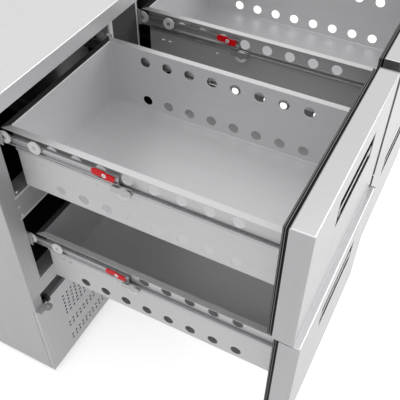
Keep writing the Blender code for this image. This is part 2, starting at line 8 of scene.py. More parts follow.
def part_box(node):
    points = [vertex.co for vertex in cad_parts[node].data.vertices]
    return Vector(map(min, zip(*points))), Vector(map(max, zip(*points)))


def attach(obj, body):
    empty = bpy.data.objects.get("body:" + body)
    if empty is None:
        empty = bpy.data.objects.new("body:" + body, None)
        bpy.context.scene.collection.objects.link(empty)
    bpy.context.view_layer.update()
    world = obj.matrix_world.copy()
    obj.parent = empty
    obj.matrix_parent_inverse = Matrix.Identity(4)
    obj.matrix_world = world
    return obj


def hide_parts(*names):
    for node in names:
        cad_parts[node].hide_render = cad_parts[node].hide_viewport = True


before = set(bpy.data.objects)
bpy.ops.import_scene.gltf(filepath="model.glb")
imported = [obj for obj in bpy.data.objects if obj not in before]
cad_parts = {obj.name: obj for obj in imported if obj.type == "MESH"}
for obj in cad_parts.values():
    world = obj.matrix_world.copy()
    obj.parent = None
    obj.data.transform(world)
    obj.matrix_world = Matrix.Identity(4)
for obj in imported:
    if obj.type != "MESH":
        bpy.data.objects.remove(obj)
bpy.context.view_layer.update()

bpy.ops.object.select_all(action="DESELECT")

# Camera: stands to the left of the open drawers, above the worktop, and looks down along them.
# Its place and turn come from the drawer holes and edges in the photograph.
camera_place = Vector((-0.979, -0.71605, 1.4612))
camera_right = Vector((0.46285, -0.88644, 0.00222))
camera_up = Vector((0.63511, 0.33336, 0.69678))
camera_ahead = Vector((0.61839, 0.32109, -0.71728))
camera_lens = 55.3
bpy.ops.object.camera_add()
camera = bpy.context.object
camera.name = "photograph_camera"
camera.data.lens = camera_lens
camera.data.sensor_width = 36
turn = Matrix((camera_right, camera_up, -camera_ahead)).transposed().to_4x4()
camera.matrix_world = Matrix.Translation(camera_place) @ turn
bpy.context.scene.camera = camera


# Worktop: one sheet of satin stainless steel folded down on every side over the insulated cabinet.
# Its front edge is turned back under the overhang, and its folds are rounded.
class Wire:
    """One output of a shader node. Sums and products of wires add their own Math nodes."""

    def __init__(self, tree, socket):
        self.tree = tree
        self.socket = socket

    def maths(self, operation, *values):
        node = self.tree.nodes.new("ShaderNodeMath")
        node.operation = operation
        for place, value in enumerate(values):
            if isinstance(value, Wire):
                self.tree.links.new(value.socket, node.inputs[place])
            else:
                node.inputs[place].default_value = value
        return Wire(self.tree, node.outputs[0])

    def __add__(self, other):
        return self.maths("ADD", self, other)

    __radd__ = __add__

    def __sub__(self, other):
        return self.maths("SUBTRACT", self, other)

    def __mul__(self, other):
        return self.maths("MULTIPLY", self, other)


class Finish:
    """A material on one Principled shader, with one method for every other node."""

    def __init__(self, name, colour, roughness, metallic=0.0, **fixed):
        self.material = bpy.data.materials.new(name)
        self.material.use_nodes = True
        self.tree = self.material.node_tree
        self.shader = self.tree.nodes["Principled BSDF"]
        self.colour = (*colour, 1)
        self.roughness = roughness
        self.shader.inputs["Base Color"].default_value = self.colour
        self.shader.inputs["Roughness"].default_value = roughness
        self.shader.inputs["Metallic"].default_value = metallic
        for socket, value in fixed.items():
            self.shader.inputs[socket.replace("_", " ")].default_value = value

    def node(self, kind, sockets=None, output=0, **settings):
        node = self.tree.nodes.new("ShaderNode" + kind)
        for setting, value in settings.items():
            setattr(node, setting, value)
        for socket, value in (sockets or {}).items():
            if isinstance(value, Wire):
                self.tree.links.new(value.socket, node.inputs[socket])
            else:
                node.inputs[socket].default_value = value
        return Wire(self.tree, node.outputs[output])

    def feed(self, socket, wire):
        self.tree.links.new(wire.socket, self.shader.inputs[socket])

    def place(self):
        return self.node("TexCoord", output=3)

    def noise(self, scale, stretch=(1, 1, 1), detail=2.0):
        place = self.node("Mapping", {"Vector": self.place(), "Scale": stretch})
        return self.node("TexNoise", {"Vector": place, "Scale": scale, "Detail": detail})

    def tint(self, factor, shade, under=None):
        """Mixes the base colour towards another shade by a factor, and feeds it to the shader."""
        mixed = self.node(
            "Mix", {0: factor, 6: under or self.colour, 7: (*shade, 1)}, output=2, data_type="RGBA"
        )
        self.feed("Base Color", mixed)
        return mixed

    def bump(self, height, distance, strength=1.0):
        bump = self.node("Bump", {"Height": height, "Distance": distance, "Strength": strength})
        self.feed("Normal", bump)


def brushed_steel(name, colour, roughness, along, metallic=1.0, depth=0.000012, dull=None):
    """Stainless steel brushed along one axis, with faint handling marks.

    Where the mesh attribute named by dull is set, its colour is painted almost black as shade."""
    finish = Finish(name, colour, roughness, metallic)
    fine = {"x": (9, 1300, 1300), "y": (1300, 9, 1300), "z": (1300, 1300, 9)}[along]
    broad = {"x": (2, 90, 90), "y": (90, 2, 90), "z": (90, 90, 2)}[along]
    lines = finish.noise(1.0, fine, 3.0)
    bands = finish.noise(1.0, broad, 2.0)
    marks = finish.noise(6.0, detail=4.0)
    grain = finish.tint(lines * 0.5 + bands * 0.3 + marks * 0.2 - 0.25, [shade * 0.8 for shade in colour])
    if dull:
        # painted shade: the colour goes almost black where the attribute is set
        shade_flag = finish.node("Attribute", output=2, attribute_name=dull)
        finish.tint(shade_flag, [shade * 0.12 for shade in colour], grain)
    finish.feed("Roughness", roughness - 0.1 + lines * 0.1 + bands * 0.05 + marks * 0.05)
    finish.bump(lines, depth)
    return finish.material


def dress(node, material):
    """Puts a material on every slot of a CAD node."""
    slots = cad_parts[node].material_slots
    for slot in slots:
        slot.material = material


def only(piece):
    bpy.ops.object.select_all(action="DESELECT")
    piece.select_set(True)
    bpy.context.view_layer.objects.active = piece


def finish_modifiers(piece):
    only(piece)
    for modifier in list(piece.modifiers):
        bpy.ops.object.modifier_apply(modifier=modifier.name)


def soften(piece, width, segments=3, angle=40):
    """Rounds every sharp edge, then keeps the flat faces flat with weighted normals."""
    edges = piece.modifiers.new("folds", "BEVEL")
    edges.width = width
    edges.segments = segments
    edges.limit_method = "ANGLE"
    edges.angle_limit = math.radians(angle)
    finish_modifiers(piece)
    bpy.ops.object.shade_smooth_by_angle(angle=math.radians(46))
    weighted = piece.modifiers.new("flat", "WEIGHTED_NORMAL")
    weighted.keep_sharp = True
    finish_modifiers(piece)


def paint(piece, material):
    piece.data.materials.clear()
    piece.data.materials.append(material)


def edit(piece, kind, test):
    """Opens a piece in edit mode with the faces, edges or points selected that pass a test.

    The test gets the middle of each one, and its normal (an edge's direction)."""
    if bpy.context.mode != "EDIT_MESH":
        only(piece)
        bpy.ops.object.mode_set(mode="EDIT")
    bpy.ops.mesh.select_mode(type=kind)
    bpy.ops.mesh.select_all(action="DESELECT")
    bm = bmesh.from_edit_mesh(piece.data)
    if kind == "FACE":
        for face in bm.faces:
            face.select_set(bool(test(face.calc_center_median(), face.normal)))
    elif kind == "EDGE":
        for edge in bm.edges:
            start, end = (point.co for point in edge.verts)
            edge.select_set(bool(test((start + end) / 2, (end - start).normalized())))
    else:
        for point in bm.verts:
            point.select_set(bool(test(point.co, point.normal)))
    bmesh.update_edit_mesh(piece.data)


def leave():
    bpy.ops.object.mode_set(mode="OBJECT")


def set_back(inset, depth):
    """Insets the selected faces and pushes them in; a negative depth raises them."""
    bpy.ops.mesh.inset(thickness=inset, depth=0)
    bpy.ops.mesh.inset(thickness=0, depth=-depth)


def thicken(piece, thickness):
    """Gives an open sheet its thickness, inward from its outer side."""
    only(piece)
    bpy.ops.object.mode_set(mode="EDIT")
    bpy.ops.mesh.select_all(action="SELECT")
    bpy.ops.mesh.normals_make_consistent(inside=False)
    bpy.ops.object.mode_set(mode="OBJECT")
    sheet = piece.modifiers.new("sheet", "SOLIDIFY")
    sheet.thickness = thickness
    sheet.offset = -1
    sheet.use_even_offset = True
    finish_modifiers(piece)


def carve(piece, cutter, operation="DIFFERENCE"):
    """Cuts a piece with another one, or adds it, and removes the other."""
    tool = piece.modifiers.new("carve", "BOOLEAN")
    tool.operation = operation
    tool.object = cutter
    tool.solver = "EXACT"
    finish_modifiers(piece)
    bpy.data.objects.remove(cutter)


def repeat(piece, count, step):
    """Applies an array of copies at a constant step."""
    array = piece.modifiers.new("repeat", "ARRAY")
    array.count = count
    array.use_relative_offset = False
    array.use_constant_offset = True
    array.constant_offset_displace = step
    finish_modifiers(piece)


def round_bar(name, centre, radius, length, axis, sides=32):
    """A cylinder primitive that lies along an axis."""
    turns = {"x": (0, math.pi / 2, 0), "y": (math.pi / 2, 0, 0), "z": (0, 0, 0)}
    bpy.ops.mesh.primitive_cylinder_add(
        vertices=sides, radius=radius, depth=length, location=centre, rotation=turns[axis]
    )
    piece = bpy.context.object
    piece.name = name
    bpy.ops.object.transform_apply(location=True, rotation=True, scale=True)
    return piece


def copied(piece, name, move, mirror_at=None):
    """A copy of a piece with its own mesh, moved, and first mirrored in X about a place when asked."""
    copy = bpy.data.objects.new(name, piece.data.copy())
    bpy.context.scene.collection.objects.link(copy)
    if mirror_at is not None:
        flip = Matrix.Translation((2 * mirror_at, 0, 0)) @ Matrix.Scale(-1, 4, Vector((1, 0, 0)))
        copy.data.transform(flip)
        copy.data.flip_normals()
    copy.data.transform(Matrix.Translation(move))
    return copy


def belong(piece, body, slot, *nodes):
    """Joins a piece to its body, and lets it stand for CAD nodes by hiding them. The slot argument is not
    used.
    """
    if nodes:
        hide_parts(*nodes)
    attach(piece, body)


def block(name, low, high):
    """A cube primitive sized to the box between two corners."""
    low, high = Vector(low), Vector(high)
    bpy.ops.mesh.primitive_cube_add(size=1, location=(low + high) / 2, scale=high - low)
    piece = bpy.context.object
    piece.name = name
    bpy.ops.object.transform_apply(location=True, rotation=True, scale=True)
    return piece


def rounded_copy(name, node, width, segments=2):
    """Copies a CAD node, merges its triangles into faces, and rounds its sharp edges."""
    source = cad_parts[node]
    piece = bpy.data.objects.new(name, source.data.copy())
    bpy.context.scene.collection.objects.link(piece)
    only(piece)
    bpy.ops.object.mode_set(mode="EDIT")
    bpy.ops.mesh.select_all(action="SELECT")
    bpy.ops.mesh.remove_doubles(threshold=merge_distance)
    bpy.ops.mesh.dissolve_limited(angle_limit=math.radians(1))
    bpy.ops.object.mode_set(mode="OBJECT")
    soften(piece, width, segments)
    return piece


worktop_fold = 0.0022
merge_distance = 0.00001
sheet_edge = 0.0004
fine_edge = 0.0003
worktop_steel = brushed_steel("satin worktop steel", (0.76, 0.76, 0.77), 0.34, "x", 0.6)
worktop = block("worktop_top", *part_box("worktop"))
soften(worktop, worktop_fold)
paint(worktop, worktop_steel)
belong(worktop, "cabinet", "worktop", "worktop")

# Cabinet shell: brushed steel side walls and back, folded from thin sheet and closed by a base tray.
# The insulation behind it and the liner of the cold compartment show through the openings.
shell_steel = brushed_steel("brushed shell steel", (0.56, 0.56, 0.57), 0.36, "z", 0.9)
shell_fold = 0.0007
shell = rounded_copy("cabinet_shell", "outer_casing", shell_fold)
paint(shell, shell_steel)
belong(shell, "cabinet", "outer_casing", "outer_casing")
# The liner is painted almost black: painted shade inside the cold compartment.
liner_shade_steel = brushed_steel("liner steel painted with shade", (0.08, 0.08, 0.083), 0.6, "y")
dress("liner", liner_shade_steel)

foam = Finish("rigid foam", (0.8, 0.71, 0.42), 0.92)
cells = foam.noise(900, detail=3.0)
foam.tint(cells * 0.6, (0.62, 0.52, 0.28))
foam.bump(cells, 0.0004)
dress("insulation", foam.material)

# Front frame: brushed steel folded in round the four openings. The drawers' seals close on it.
# Flush screws hold it at the middle bar and on the mullion. A dark strip down the mullion is painted
# shade, and the screws on it share that paint. Bright strips along the bars and beside the mullion are
# painted highlights of the folds, and a black joint runs under each lower opening's sill.
frame_steel = brushed_steel("brushed frame steel", (0.56, 0.56, 0.57), 0.42, "z", 0.4)
frame_fold = 0.0009
front_frame = rounded_copy("front_frame_folded", "front_frame", frame_fold)
paint(front_frame, frame_steel)
belong(front_frame, "cabinet", "front_frame", "front_frame")

screw_radius = 0.0034
screw_height = 0.0004
screw_steel = brushed_steel("screw steel", (0.9, 0.9, 0.91), 0.25, "x", 0.3)


def make_screw(name, at, material):
    """A nearly flush head with a round recess, facing -Y; its back is at the given place."""
    centre = Vector(at) - Vector((0, screw_height / 2, 0))
    screw = round_bar(name, centre, screw_radius, screw_height, "y", 24)
    edit(screw, "FACE", lambda place, normal: normal.y < -0.9)
    set_back(screw_radius * 0.45, 0)
    set_back(screw_radius * 0.1, screw_height * 0.6)
    leave()
    soften(screw, screw_height * 0.25, 2, 50)
    paint(screw, material)
    belong(screw, "cabinet", "front_frame")


frame_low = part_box("front_frame")[0]
middle_bar_z = (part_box("upper_left_seal")[0].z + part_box("lower_left_seal")[1].z) / 2
screw_inset = 0.044
mullion_screw_x = 0.006
bar_screw_rise = 0.005
stile_x = frame_low.x + screw_inset
screws = (
    (stile_x, 0.042), (stile_x - 0.004, bar_screw_rise), (stile_x - 0.002, -0.021),
    (mullion_screw_x, 0.212), (mullion_screw_x, bar_screw_rise), (-stile_x, bar_screw_rise),
)
black_plastic = Finish("black plastic", (0.018, 0.018, 0.02), 0.4)
speckle = black_plastic.noise(700)
black_plastic.feed("Roughness", speckle * 0.15 + 0.34)
black_plastic.bump(speckle, 0.00005)
matt_black = Finish("matt black plastic", (0.008, 0.008, 0.009), 0.7, Specular_IOR_Level=0.05)
grain = matt_black.noise(500)
matt_black.tint(grain * 0.5, (0.016, 0.016, 0.017))
matt_black.bump(grain, 0.00008)
strip_front = 0.0004
strip_back = 0.00005
strip_edge = 0.0001
strip_high = 0.8565
shade_strip_left = -0.0415
shade_strip_right = 0.049
mullion_strips_low = 0.32
highlight_width = 0.0035
bay_inner = 0.052
bay_outer = 0.414
# Heights of bright strips painted as highlights of the folds along the bars and the sill.
edge_highlight_bands = ((0.3588, 0.3616), (0.5554, 0.5608), (0.6135, 0.6186))
joint_low = 0.3618
joint_high = 0.3638
# Painted shade: a dark paint that stands for the shade on the mullion between the open drawers.
mullion_shade_paint = Finish("painted mullion shade", (0.075, 0.075, 0.078), 0.5, Specular_IOR_Level=0.2)
haze = mullion_shade_paint.noise(30, detail=3.0)
mullion_shade_paint.tint(haze * 0.6, (0.055, 0.055, 0.058))
mullion_shade_paint.bump(haze, 0.00005)
for number, (x, rise) in enumerate(screws):
    on_mullion = abs(x) < shade_strip_right
    face_y = frame_low.y - strip_front * on_mullion
    # Screws on the mullion take the painted shade of its strip.
    material = mullion_shade_paint.material if on_mullion else screw_steel
    make_screw(f"frame_screw_{number}", (x, face_y, middle_bar_z + rise), material)
# Painted highlights: a bright steel for strips along folds and edges of the frame.
edge_highlight_steel = brushed_steel("painted edge highlight steel", (0.86, 0.86, 0.87), 0.35, "z", 0.2)


def on_face(name, left, right, bottom, top, material):
    """A thin strip on the frame's front face."""
    face = frame_low.y
    piece = block(name, (left, face - strip_front, bottom), (right, face - strip_back, top))
    soften(piece, strip_edge, 1)
    paint(piece, material)
    belong(piece, "cabinet", "front_frame")


# The dark strip on the mullion is painted shade; the bright strips at its sides are painted highlights of
# its edges.
left_highlight_start = shade_strip_left - 3 * highlight_width
right_highlight_end = shade_strip_right + highlight_width
for name, left, right, material in (
    ("mullion_shade_strip", shade_strip_left, shade_strip_right, mullion_shade_paint.material),
    ("mullion_highlight_left", left_highlight_start, shade_strip_left - strip_back, edge_highlight_steel),
    ("mullion_highlight_right", shade_strip_right + strip_back, right_highlight_end, edge_highlight_steel),
):
    on_face(name, left, right, mullion_strips_low, strip_high, material)
for side, sign in (("left", -1), ("right", 1)):
    ends = sorted((sign * bay_inner, sign * bay_outer))
    # Bright strips along the bars: painted highlights of the frame's folds.
    for number, (band_low, band_high) in enumerate(edge_highlight_bands):
        on_face(f"edge_highlight_{side}_{number}", *ends, band_low, band_high, edge_highlight_steel)
    on_face(f"sill_joint_{side}", *ends, joint_low, joint_high, matt_black.material)

# Grille panel: a steel cover folded round the machine room's front corners.
# Its round air holes are punched in rows on the left; the drawers hide the plain right part.
grille_sheet = 0.0012
grille_side_margin = 0.0895
grille_pitch = 0.015
grille_hole_sides = 14
grille_columns = 10
grille_rows = (0, 1, 2, 3, 4, 5, 8, 9, 12, 13)
grille_row_share = 0.0538
grille_first_row_share = 0.1757
grille_hole_share = 0.2446
grille_steel = brushed_steel("brushed grille steel", (0.63, 0.63, 0.64), 0.38, "z", 0.9)
grille_low, grille_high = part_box("grille_panel")
grille_seam = 0.0012
grille = block("grille_cover", grille_low, grille_high - Vector((0, grille_seam, 0)))
edit(grille, "FACE", lambda place, normal: normal.y > 0.9 or normal.z < -0.9)
bpy.ops.mesh.delete(type="FACE")
leave()
thicken(grille, grille_sheet)
grille_span = grille_high.z - grille_low.z
row_pitch = grille_span * grille_row_share
for row in grille_rows:
    hole_z = grille_high.z - grille_span * grille_first_row_share - row * row_pitch
    centre = (grille_low.x + grille_side_margin, grille_low.y, hole_z)
    hole = row_pitch * grille_hole_share
    punch = round_bar("punch", centre, hole, 4 * grille_sheet, "y", grille_hole_sides)
    repeat(punch, grille_columns, (grille_pitch, 0, 0))
    carve(grille, punch)
bush_low, bush_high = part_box("hinge_bush")
notch_margin = 0.0015
notch_reach = 0.0085
overrun = 0.01
notch = block(
    "notch", (bush_high.x - notch_reach, grille_low.y - overrun, bush_low.z - notch_margin),
    (bush_high.x + notch_margin, grille_high.y + overrun, grille_high.z + overrun),
)
carve(grille, notch)
soften(grille, sheet_edge, 2)
paint(grille, grille_steel)
belong(grille, "cabinet", "grille_panel", "grille_panel")

# Air baffle: a plain steel sheet with the shell's brushed finish, set back from the frame.
# It closes the machine room behind the slot above the grille.
baffle_setback = 0.03
baffle_half = 0.4
baffle_low = 0.2
baffle_high = 0.3155
baffle = block(
    "air_baffle", (-baffle_half, frame_low.y + baffle_setback, baffle_low),
    (baffle_half, frame_low.y + baffle_setback + grille_sheet, baffle_high),
)
soften(baffle, sheet_edge, 1)
paint(baffle, shell_steel)
belong(baffle, "cabinet", "outer_casing")

# Corner bracket: a dull steel plate in the air slot, with a round lug.
# A moulded black plastic bush sits on its pin, in a notch of the grille.
bracket_steel = brushed_steel("dull bracket steel", (0.5, 0.5, 0.51), 0.45, "x", 0.3)
bush_edge = 0.0006
bracket = rounded_copy("corner_bracket", "hinge_bracket", sheet_edge)
paint(bracket, bracket_steel)
belong(bracket, "cabinet", "hinge_bracket", "hinge_bracket")
bush = rounded_copy("corner_bush", "hinge_bush", bush_edge)
paint(bush, black_plastic.material)
belong(bush, "cabinet", "hinge_bush", "hinge_bush")

# Drawer trays: pale satin steel, folded and welded, with a flange on three sides of the rim.
# Two rows of round holes down each side let cold air through. A bright strip along the upper rears is a
# painted highlight of the rear fold.
# The rear flange of each tray is painted almost black as the shade under the worktop.
tray_sheet = 0.001
side_flange = 0.014
rear_flange = 0.013
tray_fold = 0.0012
hole_radius = 0.011
hole_pitch = 0.0507
first_hole = 0.0827
hole_count = 8
upper_hole_drop = 0.028
lower_hole_drop = 0.123
hole_sides = 32
tray_slots = (
    (0.031, 0.0716, 0.008, 0.002), (0.048, 0.0716, 0.008, 0.002), (0.1695, 0.066, 0.003, 0.003),
)
columns = ("left", "right")
drawers = [(row, column) for row in ("upper", "lower") for column in columns]
# The tray steel is painted almost black on the rear flange: painted shade.
tray_steel = brushed_steel("satin tray steel", (0.7, 0.7, 0.71), 0.42, "y", 0.5, dull="rear_flange")
# Painted highlight: a bright steel for the strip along the rear fold of the upper trays.
hem_highlight_steel = brushed_steel("bright hem steel", (0.97, 0.97, 0.97), 0.4, "x", 0.1)
hem_highlight = 0.0014


def make_tray(name, low, high):
    """An open box of sheet with mitred flanges, pierced by the two rows of holes."""
    inward = Vector((side_flange - tray_sheet, 0, 0))
    top = Vector((0, tray_sheet - rear_flange, -tray_sheet))
    tray = block(name, low + inward, high - inward + top)
    rim = high.z - tray_sheet
    rear = high.y - rear_flange + tray_sheet
    edit(tray, "FACE", lambda place, normal: normal.z > 0.9)
    bpy.ops.mesh.delete(type="ONLY_FACE")
    edit(tray, "EDGE", lambda place, along: place.z < rim - tray_sheet)
    bpy.ops.mesh.bevel(offset=tray_fold, segments=3, affect="EDGES")
    edit(tray, "EDGE", lambda place, along: place.z > rim - tray_sheet / 2 and place.y > low.y + tray_sheet)
    bpy.ops.mesh.extrude_edges_move()
    centre = (low + high) / 2
    half = (high.x - low.x) / 2
    wider = half / (half - inward.x)
    longer = (high.y - low.y) / (rear - low.y)
    bpy.ops.transform.resize(value=(wider, longer, 1), center_override=(centre.x, low.y, centre.z))
    leave()
    thicken(tray, tray_sheet)
    first_y = rear - tray_sheet - first_hole
    for drop in (upper_hole_drop, lower_hole_drop):
        centre = (centre[0], first_y, high.z - drop)
        punch = round_bar("punch", centre, hole_radius, high.x - low.x, "x", hole_sides)
        repeat(punch, hole_count, (0, -hole_pitch, 0))
        carve(tray, punch)
    for y, drop, length, height in tray_slots:
        slot_low = Vector((low.x + side_flange - 4 * tray_sheet, rear - y - length, high.z - drop - height))
        slot_high = Vector((low.x + side_flange + 2 * tray_sheet, rear - y, high.z - drop))
        carve(tray, block("slot", slot_low, slot_high))
    soften(tray, fine_edge, 2)
    # Marks the faces of the rear flange, where the tray steel is painted almost black as shade.
    shade_flag = tray.data.attributes.new("rear_flange", "FLOAT", "FACE")
    for value, face in zip(shade_flag.data, tray.data.polygons):
        value.value = float(face.center.y > rear and face.normal.z > 0.5)
    paint(tray, tray_steel)
    return tray


first_tray = make_tray("upper_left_tray_folded", *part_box("upper_left_tray"))
for row, column in drawers:
    node = f"{row}_{column}_tray"
    tray = first_tray
    if node != "upper_left_tray":
        tray = copied(first_tray, f"{node}_folded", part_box(node)[0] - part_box("upper_left_tray")[0])
    belong(tray, f"{row}_{column}_drawer", node, node)
    # Only the upper trays carry the painted highlight along the rear fold; the lower ones are in shade.
    if row == "lower":
        continue
    low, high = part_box(node)
    inner_y = high.y - rear_flange
    bead = block(
        f"{node}_hem", (low.x + side_flange, inner_y - hem_highlight, high.z - tray_sheet - hem_highlight),
        (high.x - side_flange, inner_y - strip_back, high.z - strip_back),
    )
    soften(bead, sheet_edge, 2)
    paint(bead, hem_highlight_steel)
    belong(bead, f"{row}_{column}_drawer", node)

# Drawer fronts: pale brushed steel folded round a foam core, with a slanted pocket for the hand.
# The pocket is lined with black plastic, and a pale grip bar crosses it.
front_fold = 0.0028
pocket_start = 0.1285
pocket_width = 0.181
pocket_height = 0.0547
pocket_depth = 0.023
pocket_drop = 0.0493
rim_margin = 0.0022
rim_depth = 0.0016
lining = 0.006
lining_gap = 0.0002
lining_edge = 0.0006
sheet_reach = 0.0011
grip_drop = 0.0247
grip_height = 0.0075
grip_leg = 0.009
grip_leg_reach = 0.009
grip_thickness = 0.0024
grip_edge = 0.0008
cover_margin = 0.0013
cover_border = 0.03
cover_slope = 0.004
cover_sink = 0.0008
cheek = 0.0009
front_steel = brushed_steel("satin front steel", (0.64, 0.64, 0.65), 0.3, "z")
# The end cheeks are painted darker than the face: painted shade on the ends of the fronts.
cheek_shade_steel = brushed_steel("painted shade cheek steel", (0.5, 0.5, 0.51), 0.3, "z")
grip_steel = brushed_steel("pale grip steel", (0.42, 0.42, 0.43), 0.3, "x")
cover_steel = brushed_steel("inner cover steel", (0.6, 0.6, 0.61), 0.34, "z")


def make_front(drawer):
    """Front panel with its pocket, the lining, the grip bar and the cover on its back."""
    low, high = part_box(f"{drawer}_front")
    ends = Vector((cheek, 0, 0))
    panel = block(f"{drawer}_front_panel", low + ends, high - ends)
    soften(panel, front_fold, 3)
    # The end cheeks carry the darker steel: painted shade.
    for name, corner in (("left", low), ("right", high - ends)):
        span = Vector((cheek, high.y - low.y, high.z - low.z))
        place = Vector((corner.x, low.y, low.z))
        plate = block(f"{drawer}_front_cheek_{name}", place, place + span)
        soften(plate, fine_edge, 2)
        paint(plate, cheek_shade_steel)
        belong(plate, f"{drawer}_drawer", f"{drawer}_front")
    pocket_low = Vector((low.x + pocket_start, low.y, high.z - pocket_drop - pocket_height))
    pocket_high = pocket_low + Vector((pocket_width, pocket_depth, pocket_height))
    reach = Vector((0, pocket_depth, 0))
    margin = Vector((rim_margin, 0, rim_margin))
    rim_low = pocket_low - margin
    rim_high = Vector((pocket_high.x, low.y + rim_depth, pocket_high.z)) + margin
    carve(panel, block("pocket", pocket_low - reach, pocket_high))
    carve(panel, block("rim", rim_low - reach, rim_high))
    edit(panel, "FACE", lambda place, normal: normal.y > 0.9 and place.y > high.y - lining)
    set_back(cover_margin, 2 * cover_margin)
    leave()
    soften(panel, sheet_edge, 1, 60)
    paint(panel, front_steel)
    belong(panel, f"{drawer}_drawer", f"{drawer}_front", f"{drawer}_front")

    close = Vector((lining_gap, lining_gap, lining_gap))
    plate_low = Vector((rim_low.x, low.y + rim_depth - sheet_reach, rim_low.z))
    insert = block(f"{drawer}_handle_lining", plate_low + close, rim_high - close)
    edit(insert, "FACE", lambda place, normal: normal.y > 0.9)
    set_back(rim_margin, sheet_reach - pocket_depth + rim_depth)
    edit(insert, "FACE", lambda place, normal: normal.y < -0.9)
    set_back(rim_margin + lining, pocket_depth - rim_depth - sheet_reach)
    leave()
    soften(insert, lining_edge, 2)
    paint(insert, matt_black.material)
    belong(insert, f"{drawer}_drawer", f"{drawer}_front")

    grip_top = pocket_high.z - grip_drop
    grip_low = Vector((pocket_low.x + lining, low.y + close.y, grip_top - grip_height - grip_leg_reach))
    grip_high = Vector((pocket_high.x - lining, grip_low.y + grip_thickness, grip_top))
    grip = block(f"{drawer}_handle_grip", grip_low, grip_high)
    leg = Vector((grip_leg, 0, 0))
    under = Vector((grip_high.x, grip_high.y, grip_top - grip_height))
    carve(grip, block("space under the grip", grip_low - reach + leg, under + reach - leg))
    soften(grip, grip_edge, 3)
    paint(grip, grip_steel)
    belong(grip, f"{drawer}_drawer", f"{drawer}_front")

    core_low, core_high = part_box(f"{drawer}_core")
    cover = block(f"{drawer}_inner_cover", (core_low.x, core_high.y - cover_margin, core_low.z), core_high)
    edit(cover, "FACE", lambda place, normal: normal.y > 0.9)
    bpy.ops.mesh.inset(thickness=cover_border)
    set_back(cover_slope, cover_sink)
    leave()
    soften(cover, fine_edge, 1, 20)
    paint(cover, cover_steel)
    belong(cover, f"{drawer}_drawer", f"{drawer}_core", f"{drawer}_core")


for row, column in drawers:
    make_front(f"{row}_{column}")

# Drawer seals: black rubber bellows in one ring, pressed into the back of each front.
# Two grooves run round the ring and leave three ribs. Two grey strips on it are painted highlights of the
# rib crests.
seal_width = 0.014
groove_half = 0.0009
groove_depth = 0.0022
seal_rubber = Finish("black seal rubber", (0.006, 0.006, 0.007), 0.45, Specular_IOR_Level=0.15)
dust = seal_rubber.noise(400, detail=4.0)
seal_rubber.tint(dust * 0.5, (0.016, 0.016, 0.017))
seal_rubber.bump(dust, 0.00008)
bead_width = 0.0016
bead_height = 0.0004
# Painted highlight: grey strips that stand for the light on the ribs' crests.
seal_highlight_rubber = Finish("painted seal highlight", (0.2, 0.2, 0.205), 0.5)
highlight_mottle = seal_highlight_rubber.noise(250, detail=4.0)
seal_highlight_rubber.tint(highlight_mottle * 0.8, (0.1, 0.1, 0.102))
seal_highlight_rubber.bump(highlight_mottle, 0.00005)


def make_seal_highlight(drawer, number, centre_y, low, high):
    """A grey strip that runs round the seal, standing slightly out of it: a painted highlight on a rib's
    crest.
    """
    out = Vector((bead_height, 0, bead_height))
    span = Vector((0, bead_width / 2, 0))
    bead_low = Vector((low.x, centre_y, low.z)) - out - span
    bead_high = Vector((high.x, centre_y, high.z)) + out + span
    bead = block(f"{drawer}_seal_highlight_{number}", bead_low, bead_high)
    edit(bead, "FACE", lambda place, normal: abs(normal.y) > 0.9)
    bpy.ops.mesh.inset(thickness=3 * bead_width, use_individual=True)
    bpy.ops.mesh.bridge_edge_loops()
    leave()
    soften(bead, bead_height, 2, 50)
    paint(bead, seal_highlight_rubber.material)
    belong(bead, f"{drawer}_drawer", f"{drawer}_seal")


def make_seal(drawer):
    low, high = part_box(f"{drawer}_seal")
    seal = block(f"{drawer}_seal_bellows", low, high)
    edit(seal, "FACE", lambda place, normal: abs(normal.y) > 0.9)
    bpy.ops.mesh.inset(thickness=seal_width, use_individual=True)
    bpy.ops.mesh.bridge_edge_loops()
    for groove in (1 / 3, 2 / 3):
        centre_y = low.y + (high.y - low.y) * groove
        for y in (centre_y - groove_half, centre_y, centre_y + groove_half):
            edit(seal, "FACE", lambda place, normal: True)
            bpy.ops.mesh.bisect(plane_co=(0, y, 0), plane_no=(0, 1, 0))
        edit(seal, "VERT", lambda place, normal: abs(place.y - centre_y) < groove_half / 4)
        bpy.ops.transform.shrink_fatten(value=-groove_depth)
    leave()
    soften(seal, fine_edge, 1, 50)
    paint(seal, seal_rubber.material)
    belong(seal, f"{drawer}_drawer", f"{drawer}_seal", f"{drawer}_seal")
    make_seal_highlight(drawer, 0, high.y - bead_width, low, high)
    make_seal_highlight(drawer, 1, (low.y + high.y) / 2, low, high)


for row, column in drawers:
    make_seal(f"{row}_{column}")

# Slides: roll-formed steel rails. The cabinet member has a front roller, the middle one two rollers
# and a stop roller under a cover, and the trough-shaped drawer member is spot-welded to the tray.
slide_steel = brushed_steel("plated slide steel", (0.55, 0.55, 0.56), 0.36, "y", 0.85)
hub_steel = brushed_steel("dark hub steel", (0.2, 0.2, 0.21), 0.4, "z", 0.8)
nylon = Finish("white nylon", (0.86, 0.86, 0.85), 0.35)
wear = nylon.noise(150, detail=3.0)
nylon.tint(wear * 0.5, (0.62, 0.62, 0.6))
nylon.bump(wear, 0.00003)
roller_radius = 0.0131
roller_width = 0.0034
hub_radius = 0.0042
rivet_radius = 0.0032
rivet_edge = 0.0005
rail_rounding = 0.00035


